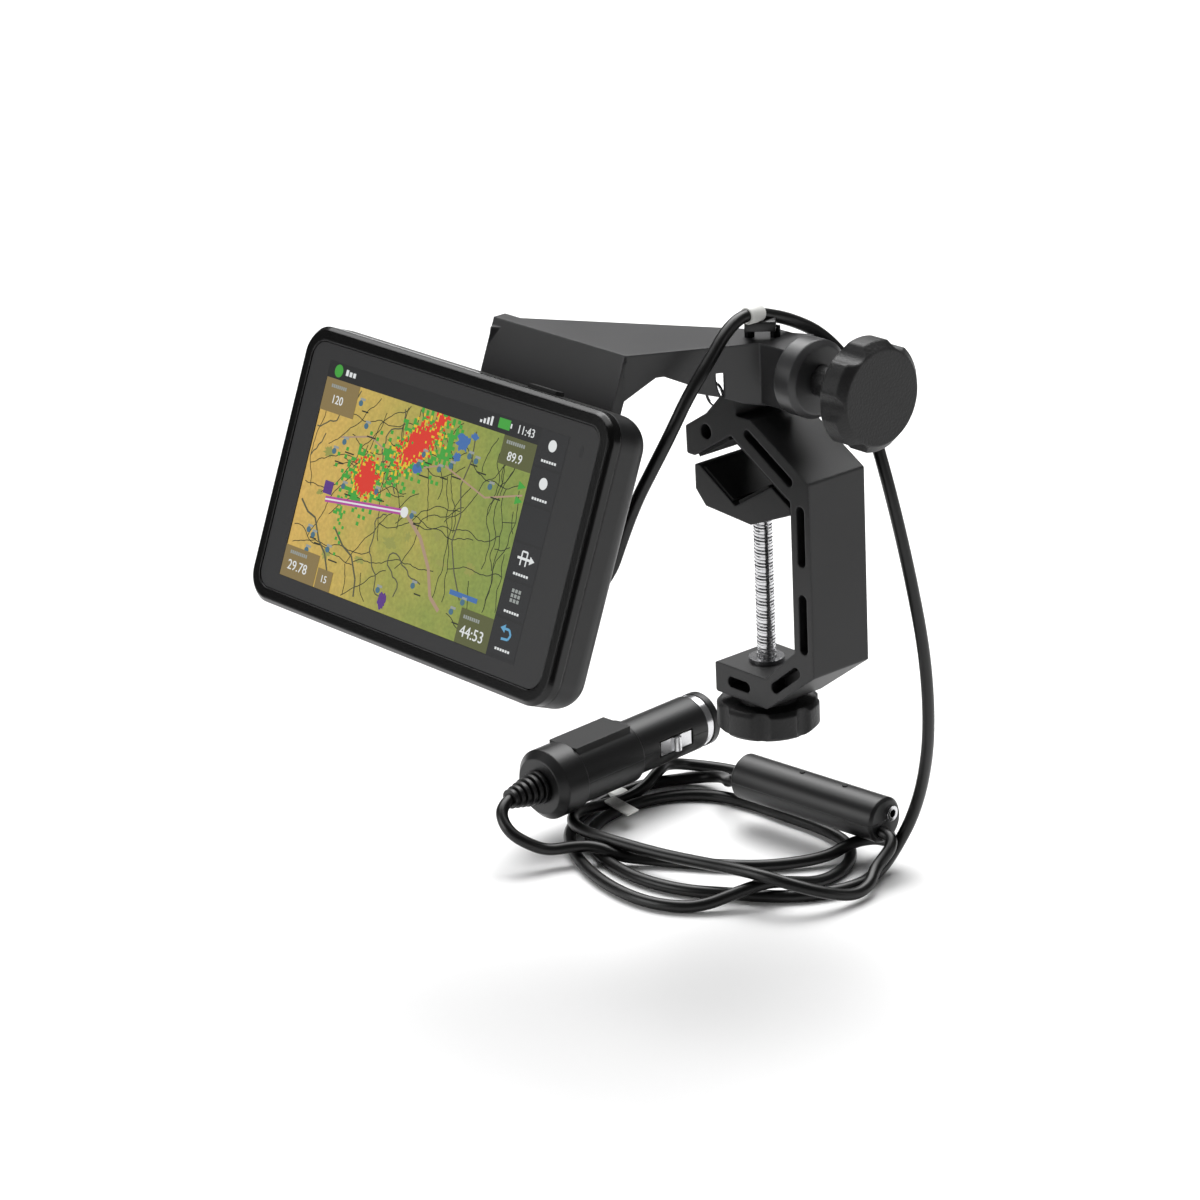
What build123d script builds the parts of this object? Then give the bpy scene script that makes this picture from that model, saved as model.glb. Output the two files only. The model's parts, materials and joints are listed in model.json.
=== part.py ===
from build123d import *
import math
import os

# Portable aviation GPS on a control-yoke mount, in millimetres.
# +Z is up, +Y is the direction of the yoke shaft that the clamp grips, and the screen looks
# towards -Y. The origin is on the axis of the thinnest shaft that the clamp holds.

# ---- driving dimensions ------------------------------------------------------------------
CLAMP_HALF = 11.0          # half the clamp's width along the shaft
SPINE_IN, SPINE_OUT = 23.9, 31.8
LEG_TOP, LEG_BOTTOM = -63.0, -72.5
LEG_TIP = -10.7
POCKET_WIDTH = 3.4         # moulded pockets that keep the clamp's walls thin
POCKET_DEPTH = 5.5
PAD_THICK = 1.0

SCREW_R = 2.95             # M6 clamp screw
SCREW_BOTTOM = -81.5
FIT = 0.05                 # radial clearance of a running fit
KNOB_R, KNOB_TOP, KNOB_BOTTOM = 15.4, -73.6, -83.5

PIVOT_Y, PIVOT_Z = 0.0, 29.5
STUD_R = 2.5
LUG_X0, LUG_X1, LUG_R = -4.2, 1.8, 5.4
DISC_X0, DISC_X1, DISC_R = 17.5, 26.5, 11.6
HEAD_X0, HEAD_X1, HEAD_R = 40.5, 51.2, 16.3
NECK_R = 4.6

PLATE_TOP, PLATE_SKIN, PLATE_EDGE = 38.2, 3.0, 5.0
FLANGE_W, FLANGE_THICK = 58.6, 4.0

TILT = 22.0                # the screen leans back by this angle
DEV_W, DEV_H = 138.0, 84.0
DEV_CENTRE = (-42.7, -92.3, -1.5)   # middle of the screen's front face
RIM = 4.4                  # bevelled black rim round the flat face
SHELL_DEPTH = 17.0         # rim to the shoulder of the back
HUMP_DEPTH = 22.0          # rim to the flat of the battery hump
HUMP_X = -6.0              # the hump and the cradle sit a little left of the middle
FLANGE_DEPTH = 34.0        # rim to the front of the arm's flange
SCREEN_W, SCREEN_H, SCREEN_Y = 107.0, 65.0, 0.1

CORD_ELBOW = (-14.7, -65.3, -41.5)   # ball on the cradle's back that the cord leaves
CORD_EXIT = (0.15, 0.65, 0.745)      # direction in which it leaves

FLOOR = -140.0             # the surface that the coiled cord lies on
CORD_R = 1.9
COIL_TOP = FLOOR + 8.0

MODULE_R = 7.3
PLUG_R = 10.4

TETHER_CENTRE, TETHER_R, TETHER_WIRE = (-8.6, -9.4, 20.2), 3.6, 0.45
V_BOTTOM = -11.9           # deepest point of the moving jaw's V
COLLAR_THICK = 11.0
BASE = (Align.CENTER, Align.CENTER, Align.MIN)


# ---- helpers -----------------------------------------------------------------------------
def write(name, shape):
    """Saves one sub-part, as one node."""
    parts = shape if isinstance(shape, list) else [shape]
    solids = [s for p in parts for s in p.solids()]
    node = solids[0] if len(solids) == 1 else Compound(children=solids)
    export_step(node, f"parts/{name}.step")


def profile(points, radius, half):
    """A closed outline in the XZ plane, rounded at its corners, extruded along Y."""
    with BuildSketch(Plane.XZ) as sk:
        with BuildLine():
            Polyline(*points, close=True)
        make_face()
        if radius:
            fillet(sk.vertices(), radius)
    return extrude(sk.sketch, half, both=True)


def rod_x(y, z, r, x0, x1):
    """A round bar along X."""
    return Plane.YZ.offset(x0) * Pos(y, z, 0) * extrude(Circle(r), x1 - x0)


def rod_z(x, y, r, z0, z1):
    """A round bar along Z."""
    return Pos(x, y, z0) * extrude(Circle(r), z1 - z0)


def slot_pocket(x0, z0, x1, z1, width, depth):
    """Two blind round-ended pockets, one from each face of the clamp."""
    length, turn = math.hypot(x1 - x0, z1 - z0), math.degrees(math.atan2(z1 - z0, x1 - x0))
    cut = Pos((x0 + x1) / 2, 0, (z0 + z1) / 2) * Rot(0, -turn, 0)
    bar = extrude(Plane.XZ * SlotOverall(length, width), CLAMP_HALF + 1, both=True)
    core = Box(length + 2, 2 * (CLAMP_HALF - depth), width + 2)
    return cut * (bar - core)


def lobed(r_out, r_in, count):
    """A hand-knob outline: round lobes with shallow finger valleys between them."""
    valley = (r_out - r_in) * 2.2
    outline = Circle(r_out)
    for i in range(count):
        a = 2 * math.pi * i / count
        reach = r_in + valley
        outline -= Pos(reach * math.cos(a), reach * math.sin(a)) * Circle(valley)
    return fillet(outline.vertices(), 1.2)


def slab(x0, z0, x1, z1, thick, half, side):
    """A flat strip from one point to another in the XZ plane, with its thickness to one side."""
    length = math.hypot(x1 - x0, z1 - z0)
    nx, nz = -(z1 - z0) / length * thick * side, (x1 - x0) / length * thick * side
    return profile([(x0, z0), (x1, z1), (x1 + nx, z1 + nz), (x0 + nx, z0 + nz)], 0, half)


def cord_tube(points, radius=CORD_R):
    """A round cord: straight runs joined by tangent arcs, each as large as its runs allow."""
    pts = [Vector(*p) for p in points]
    radii = []
    for a, b, c in zip(pts, pts[1:], pts[2:]):
        turn = math.radians((b - a).get_angle(c - b))
        run = min((b - a).length, (c - b).length)
        radii.append(0.45 * run / math.tan(turn / 2))
    print("cord radii", [round(r, 1) for r in radii])
    path = FilletPolyline(*points, radius=radii)
    section = Plane(origin=pts[0], z_dir=pts[1] - pts[0]) * Circle(radius)
    tube = sweep(section, path=path)
    area = math.pi * radius ** 2
    print("  length", round(path.length, 1), "volume ratio", round(tube.volume / area / path.length, 4))
    return tube


# Device frame: local x along X, local y up the face, local z out of the screen.
FACE = Plane(
    origin=DEV_CENTRE,
    x_dir=(1, 0, 0),
    z_dir=(0, -math.cos(math.radians(TILT)), math.sin(math.radians(TILT))),
)


def plate(w, h, r, z0, z1, x=0.0, y=0.0):
    """A rounded rectangle between two depths, in the device's own frame."""
    sketch = RectangleRounded(w, h, r) if r else Rectangle(w, h)
    return Pos(x, y, z0) * extrude(sketch, z1 - z0)


def on_device(shape):
    """Moves a shape from the device's frame to its place."""
    return FACE.location * shape


# ---- clamp -------------------------------------------------------------------------------
def clamp_frame():
    outline = [
        (LEG_TIP, LEG_TOP), (LEG_TIP, LEG_BOTTOM), (11.3, LEG_BOTTOM), (SPINE_OUT, -57.5),
        (SPINE_OUT, 2.0), (7.8, 16.2), (LUG_X1, 16.2), (LUG_X1, 21.1), (LUG_X0, 21.1),
        (-10.8, 14.3), (-20.0, 8.6), (-19.8, 0.1), (-16.4, 0.1), (-0.6, 9.7),
        (SPINE_IN, -5.0), (SPINE_IN, -51.5), (11.1, LEG_TOP),
    ]
    body = profile(outline, 0.8, CLAMP_HALF)
    # The lug narrows to a round end at the pivot.
    lug = Plane.YZ.offset(LUG_X0) * extrude(
        make_hull(
            [*(Pos(PIVOT_Y, PIVOT_Z) * Circle(LUG_R)).edges(),
             *(Pos(-8.5, 22.0) * Rectangle(1.0, 6.0)).edges(),
             *(Pos(0, 18.0) * Rectangle(2 * CLAMP_HALF, 3.0)).edges()]
        ),
        LUG_X1 - LUG_X0,
    )
    body += lug
    body -= rod_x(PIVOT_Y, PIVOT_Z, STUD_R + FIT, LUG_X0 - 1, LUG_X1 + 1)
    body -= rod_z(0, 0, 4.8, LEG_BOTTOM - 1, LEG_TOP + 1)
    body -= slot_pocket(27.9, -24.0, 27.9, -5.5, POCKET_WIDTH, POCKET_DEPTH)
    body -= slot_pocket(27.9, -51.0, 27.9, -32.5, POCKET_WIDTH, POCKET_DEPTH)
    body -= slot_pocket(5.2, 12.2, 24.8, 0.3, 3.0, POCKET_DEPTH)
    body -= slot_pocket(-5.4, -68.0, 4.2, -68.0, POCKET_WIDTH, POCKET_DEPTH)
    body -= slot_pocket(13.8, -65.8, 25.6, -56.6, POCKET_WIDTH, POCKET_DEPTH)
    eye = Plane.XZ * Pos(-11.2, 8.6) * extrude(Circle(2.3), CLAMP_HALF + 1, both=True)
    body -= eye - Box(60, 2 * (CLAMP_HALF - POCKET_DEPTH), 60)
    body -= ring_solid(TETHER_WIRE + 0.25)
    return body


def ring_solid(wire):
    """A small wire ring through the lug's front corner."""
    return Pos(*TETHER_CENTRE) * Rot(90, 0, 0) * Torus(TETHER_R, wire)


def clamp_pads():
    """Thin rubber strips on the upper jaw's two gripping faces."""
    left = slab(-15.4, 0.7, -2.2, 8.7, PAD_THICK, CLAMP_HALF - 0.6, -1)
    right = slab(1.4, 8.5, 22.0, -3.86, PAD_THICK, CLAMP_HALF - 0.6, -1)
    return [left, right]


def leg_nut():
    nut = rod_z(0, 0, 4.8, LEG_BOTTOM, LEG_TOP) + rod_z(0, 0, 5.4, LEG_TOP, LEG_TOP + 1.4)
    return nut - rod_z(0, 0, SCREW_R + FIT, LEG_BOTTOM - 1, LEG_TOP + 3)


def pivot_nut():
    nut = Plane.YZ.offset(LUG_X0 - 4.2) * Pos(PIVOT_Y, PIVOT_Z) * extrude(RegularPolygon(4.6, 6), 4.2)
    return nut - rod_x(PIVOT_Y, PIVOT_Z, STUD_R + FIT, LUG_X0 - 6, LUG_X0 + 1)


# ---- moving jaw and its screw ------------------------------------------------------------
def v_block():
    outline = [
        (-17.0, -2.6), (-17.0, -10.3), (-12.8, -14.8), (6.5, -16.2), (23.3, -9.4),
        (23.3, -7.2), (15.6, -2.6), (0.0, V_BOTTOM), (-14.9, -2.6),
    ]
    block = profile(outline, 0.6, CLAMP_HALF - 0.4)
    return block - rod_z(0, 0, 2.3 + FIT, -18, -13.2)


def jaw_pads():
    """Rubber strips in the V of the moving jaw."""
    left = slab(-13.6, -3.4, -1.6, -10.9, PAD_THICK, CLAMP_HALF - 0.8, 1)
    right = slab(1.6, -10.95, 14.4, -3.3, PAD_THICK, CLAMP_HALF - 0.8, 1)
    return [left, right]


def clamp_screw():
    thread = rod_z(0, 0, SCREW_R, SCREW_BOTTOM, -17.6)
    tip = rod_z(0, 0, 2.3, -17.6, -13.6)
    return thread + tip


def screw_clip():
    """Spring clip under the jaw that keeps the screw's end in its bore."""
    return rod_z(0, 0, 4.6, -17.5, -16.4) - rod_z(0, 0, 2.3, -18, -16)


def clamp_knob():
    blank = rod_z(0, 0, KNOB_R + 0.2, KNOB_BOTTOM, KNOB_TOP - 1.2)
    head = Pos(0, 0, KNOB_BOTTOM) * extrude(lobed(KNOB_R, 13.9, 7), KNOB_TOP - 1.2 - KNOB_BOTTOM)
    head &= chamfer(blank.edges().filter_by(GeomType.CIRCLE), 1.4)
    head += rod_z(0, 0, 9.0, KNOB_TOP - 1.5, KNOB_TOP)
    return head - rod_z(0, 0, SCREW_R, SCREW_BOTTOM, KNOB_TOP + 1)


# ---- arm ---------------------------------------------------------------------------------
ARM_OUTLINE = [(-71.0, -39.6), (-12.0, -39.7), (13.4, 3.9), (13.4, 10.0), (-6.3, 0.4)]


def wall(start, end, outline, thick, side):
    """An upright wall under the plate's edge; outline is along the edge and in height."""
    dx, dy = end[0] - start[0], end[1] - start[1]
    frame = Plane(origin=(start[0], start[1], 0), x_dir=(dx, dy, 0), z_dir=(dy, -dx, 0))
    with BuildSketch() as sk:
        with BuildLine():
            Polyline(*outline, close=True)
        make_face()
    return frame.location * extrude(sk.sketch, thick * side)


def arm_bracket():
    rim = make_face(Polyline(*ARM_OUTLINE, close=True))
    top = Pos(0, 0, PLATE_TOP - PLATE_SKIN) * extrude(rim, PLATE_SKIN)
    skirt = Pos(0, 0, PLATE_TOP - PLATE_EDGE) * extrude(rim - offset(rim, -3.0), PLATE_EDGE - 1)
    right = wall(
        ARM_OUTLINE[1], ARM_OUTLINE[2],
        [(-0.6, 36.0), (-2.0, 22.0), (-1.2, 24.6), (8.4, 30.8), (10.8, 30.9), (17.7, 27.8),
         (20.5, 24.8), (27.0, 23.0), (34.0, 20.4), (50.4, 17.2), (50.4, 36.0)],
        4.0, -1,
    )
    left = wall(
        ARM_OUTLINE[0], ARM_OUTLINE[4],
        [(-0.2, 36.0), (-2.5, 24.0), (14.0, 31.0), (74.0, 31.0), (74.0, 36.0)],
        3.0, 1,
    )
    flange = on_device(plate(FLANGE_W, 70.5, 0, -FLANGE_DEPTH - FLANGE_THICK, -FLANGE_DEPTH, x=0.9, y=23.25))
    keep = Pos(-30, -20, -60) * Box(200, 200, 2 * (PLATE_TOP + 60))
    disc = rod_x(PIVOT_Y, PIVOT_Z, DISC_R, DISC_X0, DISC_X1)
    disc = chamfer(disc.edges().filter_by(GeomType.CIRCLE), 1.6)
    web = rod_x(PIVOT_Y, PIVOT_Z, DISC_R - 0.4, LUG_X1 + 0.3, DISC_X0 + 2)
    web &= Pos(0, 14.0, PLATE_TOP - 40) * Box(80, 40, 80)
    arm = top + skirt + right + left + (flange & keep) + web + disc
    swing_room = rod_x(PIVOT_Y, PIVOT_Z, 17.3, LUG_X0 - 0.4, LUG_X1 + 0.3)
    arm -= swing_room & Pos(0, 0, PIVOT_Z + 0.8 - 40) * Box(100, 100, 80)
    eye_room = rod_x(PIVOT_Y, PIVOT_Z, LUG_R + 0.6, LUG_X0 - 0.4, LUG_X1 + 0.3)
    arm -= eye_room & Pos(0, 0, PLATE_TOP - PLATE_SKIN - 40) * Box(100, 100, 80)
    arm -= rod_x(PIVOT_Y, PIVOT_Z, 5.2, LUG_X0 - 6.0, LUG_X0)
    arm -= rod_x(PIVOT_Y, PIVOT_Z, STUD_R + FIT, LUG_X1 - 1, DISC_X1 + 1)
    for x, y in SCREW_SPOTS:
        arm -= on_device(Pos(x, y, -FLANGE_DEPTH - 10) * extrude(Circle(2.0), 12))
    return arm


SCREW_SPOTS = [(-19.0, -4.0), (19.0, -4.0), (-19.0, 34.0), (19.0, 34.0)]


def arm_screws():
    screws = []
    back = -FLANGE_DEPTH - FLANGE_THICK
    for x, y in SCREW_SPOTS:
        head = Pos(x, y, back - 2.2) * extrude(Circle(3.6), 2.2)
        head -= Pos(x, y, back - 2.3) * extrude(RegularPolygon(1.5, 6), 1.4)
        shank = Pos(x, y, back) * extrude(Circle(2.0), 9.0)
        screws.append(on_device(head + shank))
    return screws


def cord_clip():
    """Saddle on the plate that the cord is tied to."""
    legs = rod_z(0.9, -3.6, 1.5, PLATE_TOP, 41.2) + rod_z(6.2, 1.6, 1.5, PLATE_TOP, 41.2)
    return [*legs.solids()]


def pivot_knob():
    outline = Plane.YZ.offset(HEAD_X0) * Pos(PIVOT_Y, PIVOT_Z) * lobed(HEAD_R, 14.2, 6)
    blank = rod_x(PIVOT_Y, PIVOT_Z, HEAD_R + 0.2, HEAD_X0, HEAD_X1)
    head = extrude(outline, HEAD_X1 - HEAD_X0) & chamfer(blank.edges().filter_by(GeomType.CIRCLE), 2.6)
    head += rod_x(PIVOT_Y, PIVOT_Z, NECK_R, DISC_X1 + 0.3, HEAD_X0)
    return head - rod_x(PIVOT_Y, PIVOT_Z, STUD_R, DISC_X1, HEAD_X0 + 6)


def pivot_stud():
    return rod_x(PIVOT_Y, PIVOT_Z, STUD_R, LUG_X0 - 5.2, HEAD_X0 + 6)


# ---- device ------------------------------------------------------------------------------
def front_bezel():
    """Glossy black frame with a bevelled rim; the glass lies in it."""
    rim = plate(DEV_W, DEV_H, 9.0, -4.0, 0.0)
    rim = chamfer(rim.faces().sort_by(Axis.Z)[-1].outer_wire().edges(), 1.2)
    rim -= plate(DEV_W - 2 * RIM, DEV_H - 2 * RIM, 5.0, -1.2, 1.0)
    return on_device(rim - plate(SCREEN_W + 6, SCREEN_H + 4, 3.0, -5.0, 0.0, y=SCREEN_Y))


def touch_glass():
    glass = plate(DEV_W - 2 * RIM - 0.2, DEV_H - 2 * RIM - 0.2, 4.9, -1.2, -0.2)
    return on_device(glass - Pos(58.2, 29.8, -1.5) * extrude(SlotOverall(3.4, 1.4, 90), 2.0))


def light_sensor():
    return on_device(Pos(58.2, 29.8, -1.2) * extrude(SlotOverall(3.2, 1.2, 90), 0.5))


def lcd_panel():
    return on_device(plate(SCREEN_W + 4, SCREEN_H + 3, 1.0, -4.2, -1.2, y=SCREEN_Y))


BUTTON_X, BUTTON_W = 30.4, 12.0


def rear_housing():
    shell = plate(DEV_W, DEV_H, 9.0, -SHELL_DEPTH, -4.0)
    shell = fillet(shell.faces().sort_by(Axis.Z)[0].outer_wire().edges(), 7.5)
    hump = plate(84.0, 58.0, 8.0, -HUMP_DEPTH, -SHELL_DEPTH + 1, x=HUMP_X)
    shell += chamfer(hump.faces().sort_by(Axis.Z)[0].outer_wire().edges(), 1.5)
    hollow = plate(DEV_W - 4, DEV_H - 4, 7.0, -SHELL_DEPTH + 7, -3.0)
    hollow += plate(DEV_W - 18, DEV_H - 18, 5.0, -SHELL_DEPTH + 2, -SHELL_DEPTH + 8)
    hollow += plate(80.0, 54.0, 6.0, -HUMP_DEPTH + 2, -SHELL_DEPTH + 3, x=HUMP_X)
    shell -= hollow
    shell -= plate(BUTTON_W + 0.8, 8.0, 0, -9.2, -5.4, x=BUTTON_X, y=DEV_H / 2)
    shell -= port_recess(0.3)
    for x, y in HOUSING_SCREWS:
        shell -= Pos(x, y, -SHELL_DEPTH - 1) * extrude(Circle(1.6), 6)
    return on_device(shell)


HOUSING_SCREWS = [(-56.0, -28.0), (56.0, -28.0), (-56.0, 28.0), (56.0, 28.0)]
PORT_X, PORT_Y, PORT_W, PORT_H = -57.0, 4.0, 8.0, 24.0
BEAD_R = 1.0


def port_recess(gap):
    w, h = PORT_W + 2 * gap, PORT_H + 2 * gap
    return plate(w, h, 0, -SHELL_DEPTH - 1, -SHELL_DEPTH + 3, x=PORT_X, y=PORT_Y)


def port_cover():
    """Rubber flap over the data and card sockets; it hinges on a bead along its lower end."""
    middle = SHELL_DEPTH - 0.2
    low, high = -middle - BEAD_R, -middle + BEAD_R
    flap = plate(PORT_W, PORT_H - BEAD_R, 0, low, high, x=PORT_X, y=PORT_Y + BEAD_R / 2)
    bead = Pos(PORT_X, PORT_Y - PORT_H / 2 + BEAD_R, -middle) * Rot(0, 90, 0) * Cylinder(BEAD_R, PORT_W)
    return on_device(flap + bead)


def housing_screws():
    screws = []
    for x, y in HOUSING_SCREWS:
        pin = Pos(x, y, -SHELL_DEPTH + 0.2) * extrude(Circle(1.6), 4.8)
        screws.append(on_device(pin - Pos(x, y, -SHELL_DEPTH) * extrude(RegularPolygon(0.8, 6), 1.0)))
    return screws


def power_button():
    """Long key in the top edge, over a small switch."""
    cap = plate(BUTTON_W, 4.4, 0, -8.9, -5.7, x=BUTTON_X, y=DEV_H / 2 - 1.0)
    return on_device(cap + plate(BUTTON_W + 2, 0.8, 0, -9.0, -5.6, x=BUTTON_X, y=DEV_H / 2 - 2.8))


def main_board():
    board = plate(112.0, 58.0, 2.0, -8.6, -7.2)
    board += plate(24.0, 24.0, 0, -10.2, -8.6, x=-20, y=4) + plate(14.0, 10.0, 0, -9.9, -8.6, x=18, y=-12)
    return on_device(board)


def battery_pack():
    return on_device(plate(48.0, 44.0, 2.0, -19.6, -12.0, x=-20.0))


def gps_antenna():
    return on_device(plate(25.0, 25.0, 1.0, -19.2, -12.5, x=20.0, y=10.0))


def speaker():
    ring = Pos(20.0, -15.5, -17.0) * extrude(Circle(10.0), 4.5)
    return on_device(ring - Pos(20.0, -15.5, -18.0) * extrude(Circle(4.0), 3.0))


# ---- cradle ------------------------------------------------------------------------------
def cradle():
    tray = plate(92.0, 66.0, 9.0, -FLANGE_DEPTH, -SHELL_DEPTH - 1.0, x=HUMP_X)
    tray -= plate(84.8, 58.8, 8.4, -HUMP_DEPTH - 0.4, -SHELL_DEPTH, x=HUMP_X)
    tray -= plate(72.0, 46.0, 5.0, -FLANGE_DEPTH + 3.0, -HUMP_DEPTH, x=HUMP_X)
    tray -= plate(22.8, 16.0, 0, -31.4, -24.6, y=33.0)
    for x, y in SCREW_SPOTS:
        tray += Pos(x, y, -FLANGE_DEPTH) * extrude(Circle(4.2), 8.0)
        tray -= Pos(x, y, -FLANGE_DEPTH - 1) * extrude(Circle(2.0), 7.0)
    elbow = Pos(28.0, -27.0, -40.0) * (Sphere(5.6) + extrude(Circle(5.6), 7.5))
    return on_device(tray + elbow)


def cradle_latch():
    """Sliding catch in the cradle's top edge, pressed down to free the unit."""
    catch = plate(22.0, 8.0, 1.0, -30.6, -25.4, y=32.0)
    return on_device(catch + plate(16.0, 1.4, 0, -29.5, -26.5, y=36.4))


def cradle_contacts():
    """Sprung power contacts between the cradle and the unit."""
    block = plate(16.0, 7.0, 1.0, -30.5, -HUMP_DEPTH - 0.6, y=-19.0)
    for i in range(4):
        block += Pos(-5.4 + 3.6 * i, -19.0, -HUMP_DEPTH - 0.6) * extrude(Circle(0.9), 0.5)
    return on_device(block)


def cradle_relief():
    """Tapered strain relief where the cord leaves the cradle's elbow."""
    place = Plane(origin=CORD_ELBOW, z_dir=CORD_EXIT)
    return place.location * (Pos(0, 0, 5.6) * Cone(3.6, 2.5, 9.9, align=BASE))


# ---- cord, in-line module and plug -------------------------------------------------------
CORD_TO_CLIP = [
    (-12.4, -55.2, -30.0), (-9.6, -51.0, -23.9), (-7.4, -49.0, -15.4), (-1.9, -47.0, -1.5), (3.0, -43.5, 9.9),
    (6.0, -39.2, 19.6), (7.1, -34.5, 27.6), (8.0, -30.0, 33.5), (7.8, -25.0, 38.2), (7.0, -19.0, 43.6),
    (6.0, -12.5, 46.6), (5.3, -6.0, 46.6), (4.6, -0.4, 44.8),
]
CORD_DROP = [
    (4.55, 0.1, 44.62), (4.6, 8.6, 41.5), (9.0, 17.2, 36.2), (16.0, 22.3, 26.5), (23.5, 22.5, 10.0),
    (30.0, 24.0, -12.0), (33.2, 28.0, -38.0), (33.0, 33.5, -64.0), (28.5, 39.0, -90.0), (20.5, 44.0, -110.0),
    (14.5, 45.0, -124.0), (12.0, 41.5, -132.2),
]
PLUG_LEAD = [
    (-79.9, -36.4, -120.3), (-79.2, -40.3, -121.2), (-76.5, -43.0, -124.0), (-72.0, -43.2, -127.6),
    (-67.8, -39.5, -131.0), (-65.4, -34.3, -134.0),
]
MODULE_IN = [(-61.0, 37.5, -132.1), (-56.5, 35.0, -129.3), (-52.5, 33.0, -127.7), (-47.9, 33.0, -127.6)]
MODULE_OUT = [(9.7, 36.1, -127.6), (13.4, 36.6, -128.0), (16.0, 34.4, -129.9), (16.4, 30.6, -132.3)]
MODULE_A, MODULE_B = (-48.0, 33.0, -124.6), (9.5, 38.5, -124.6)


def cord_coil():
    """Outer shape of the loosely coiled turns: one flat oval ring."""
    outer = make_face(Spline(*COIL_OUTER, periodic=True))
    inner = make_face(Spline(*COIL_INNER, periodic=True))
    return Pos(0, 0, FLOOR) * extrude(outer - inner, COIL_TOP - FLOOR)


COIL_OUTER = [(17.5, 20.0), (8.0, -10.0), (-12.0, -29.0), (-34.0, -35.0), (-60.0, -33.0), (-86.0, -23.0),
              (-102.0, -2.0), (-104.0, 24.0), (-96.0, 46.0), (-74.0, 57.0), (-38.0, 58.0), (-6.0, 55.0), (12.0, 42.0)]
COIL_INNER = [(-2.0, 24.0), (-11.0, 4.0), (-30.0, -12.0), (-54.0, -15.0), (-76.0, -8.0), (-84.0, 10.0),
              (-76.0, 30.0), (-50.0, 37.0), (-20.0, 37.0)]


def coil_tie():
    """White band round the gathered turns."""
    return Pos(-95.5, 13.0, COIL_TOP + 0.6) * Box(12.0, 5.0, 1.2)


def along(start, end):
    """A plane at the start that faces the end."""
    return Plane(origin=start, x_dir=(0, 0, 1), z_dir=Vector(*end) - Vector(*start))


def module_parts():
    place = along(MODULE_A, MODULE_B)
    length = (Vector(*MODULE_B) - Vector(*MODULE_A)).length
    barrel = extrude(Circle(MODULE_R), length)
    barrel = chamfer(barrel.edges().filter_by(GeomType.CIRCLE), 0.9)
    barrel -= Pos(0, 0, 2.0) * extrude(Circle(MODULE_R - 1.6), length - 4.0)
    barrel -= Pos(-3.0, 0, -1) * extrude(Circle(CORD_R), 4)
    barrel -= Pos(-3.0, 2.4, length - 3) * extrude(Circle(CORD_R), 4)
    barrel -= Pos(1.6, -2.6, length - 3) * extrude(Circle(2.4), 4)
    upper = barrel & Pos(10, 0, length / 2) * Box(20, 40, length + 2)
    lower = barrel & Pos(-10, 0, length / 2) * Box(20, 40, length + 2)
    jack = Pos(1.6, -2.6, length - 12.0) * (extrude(Circle(2.4), 12.6) - extrude(Circle(1.3), 13.0))
    board = Pos(0, 0, length / 2) * Box(1.0, 10.0, length - 26.0)
    return [place.location * p for p in (upper, lower, jack, board)]


PLUG_NOSE, PLUG_BACK = (-85.33, 43.0, -120.3), (-81.5, -13.0, -120.3)
CONTACT_X0, CONTACT_X1 = 7.0, 22.0      # side contact window, measured from the nose


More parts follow.
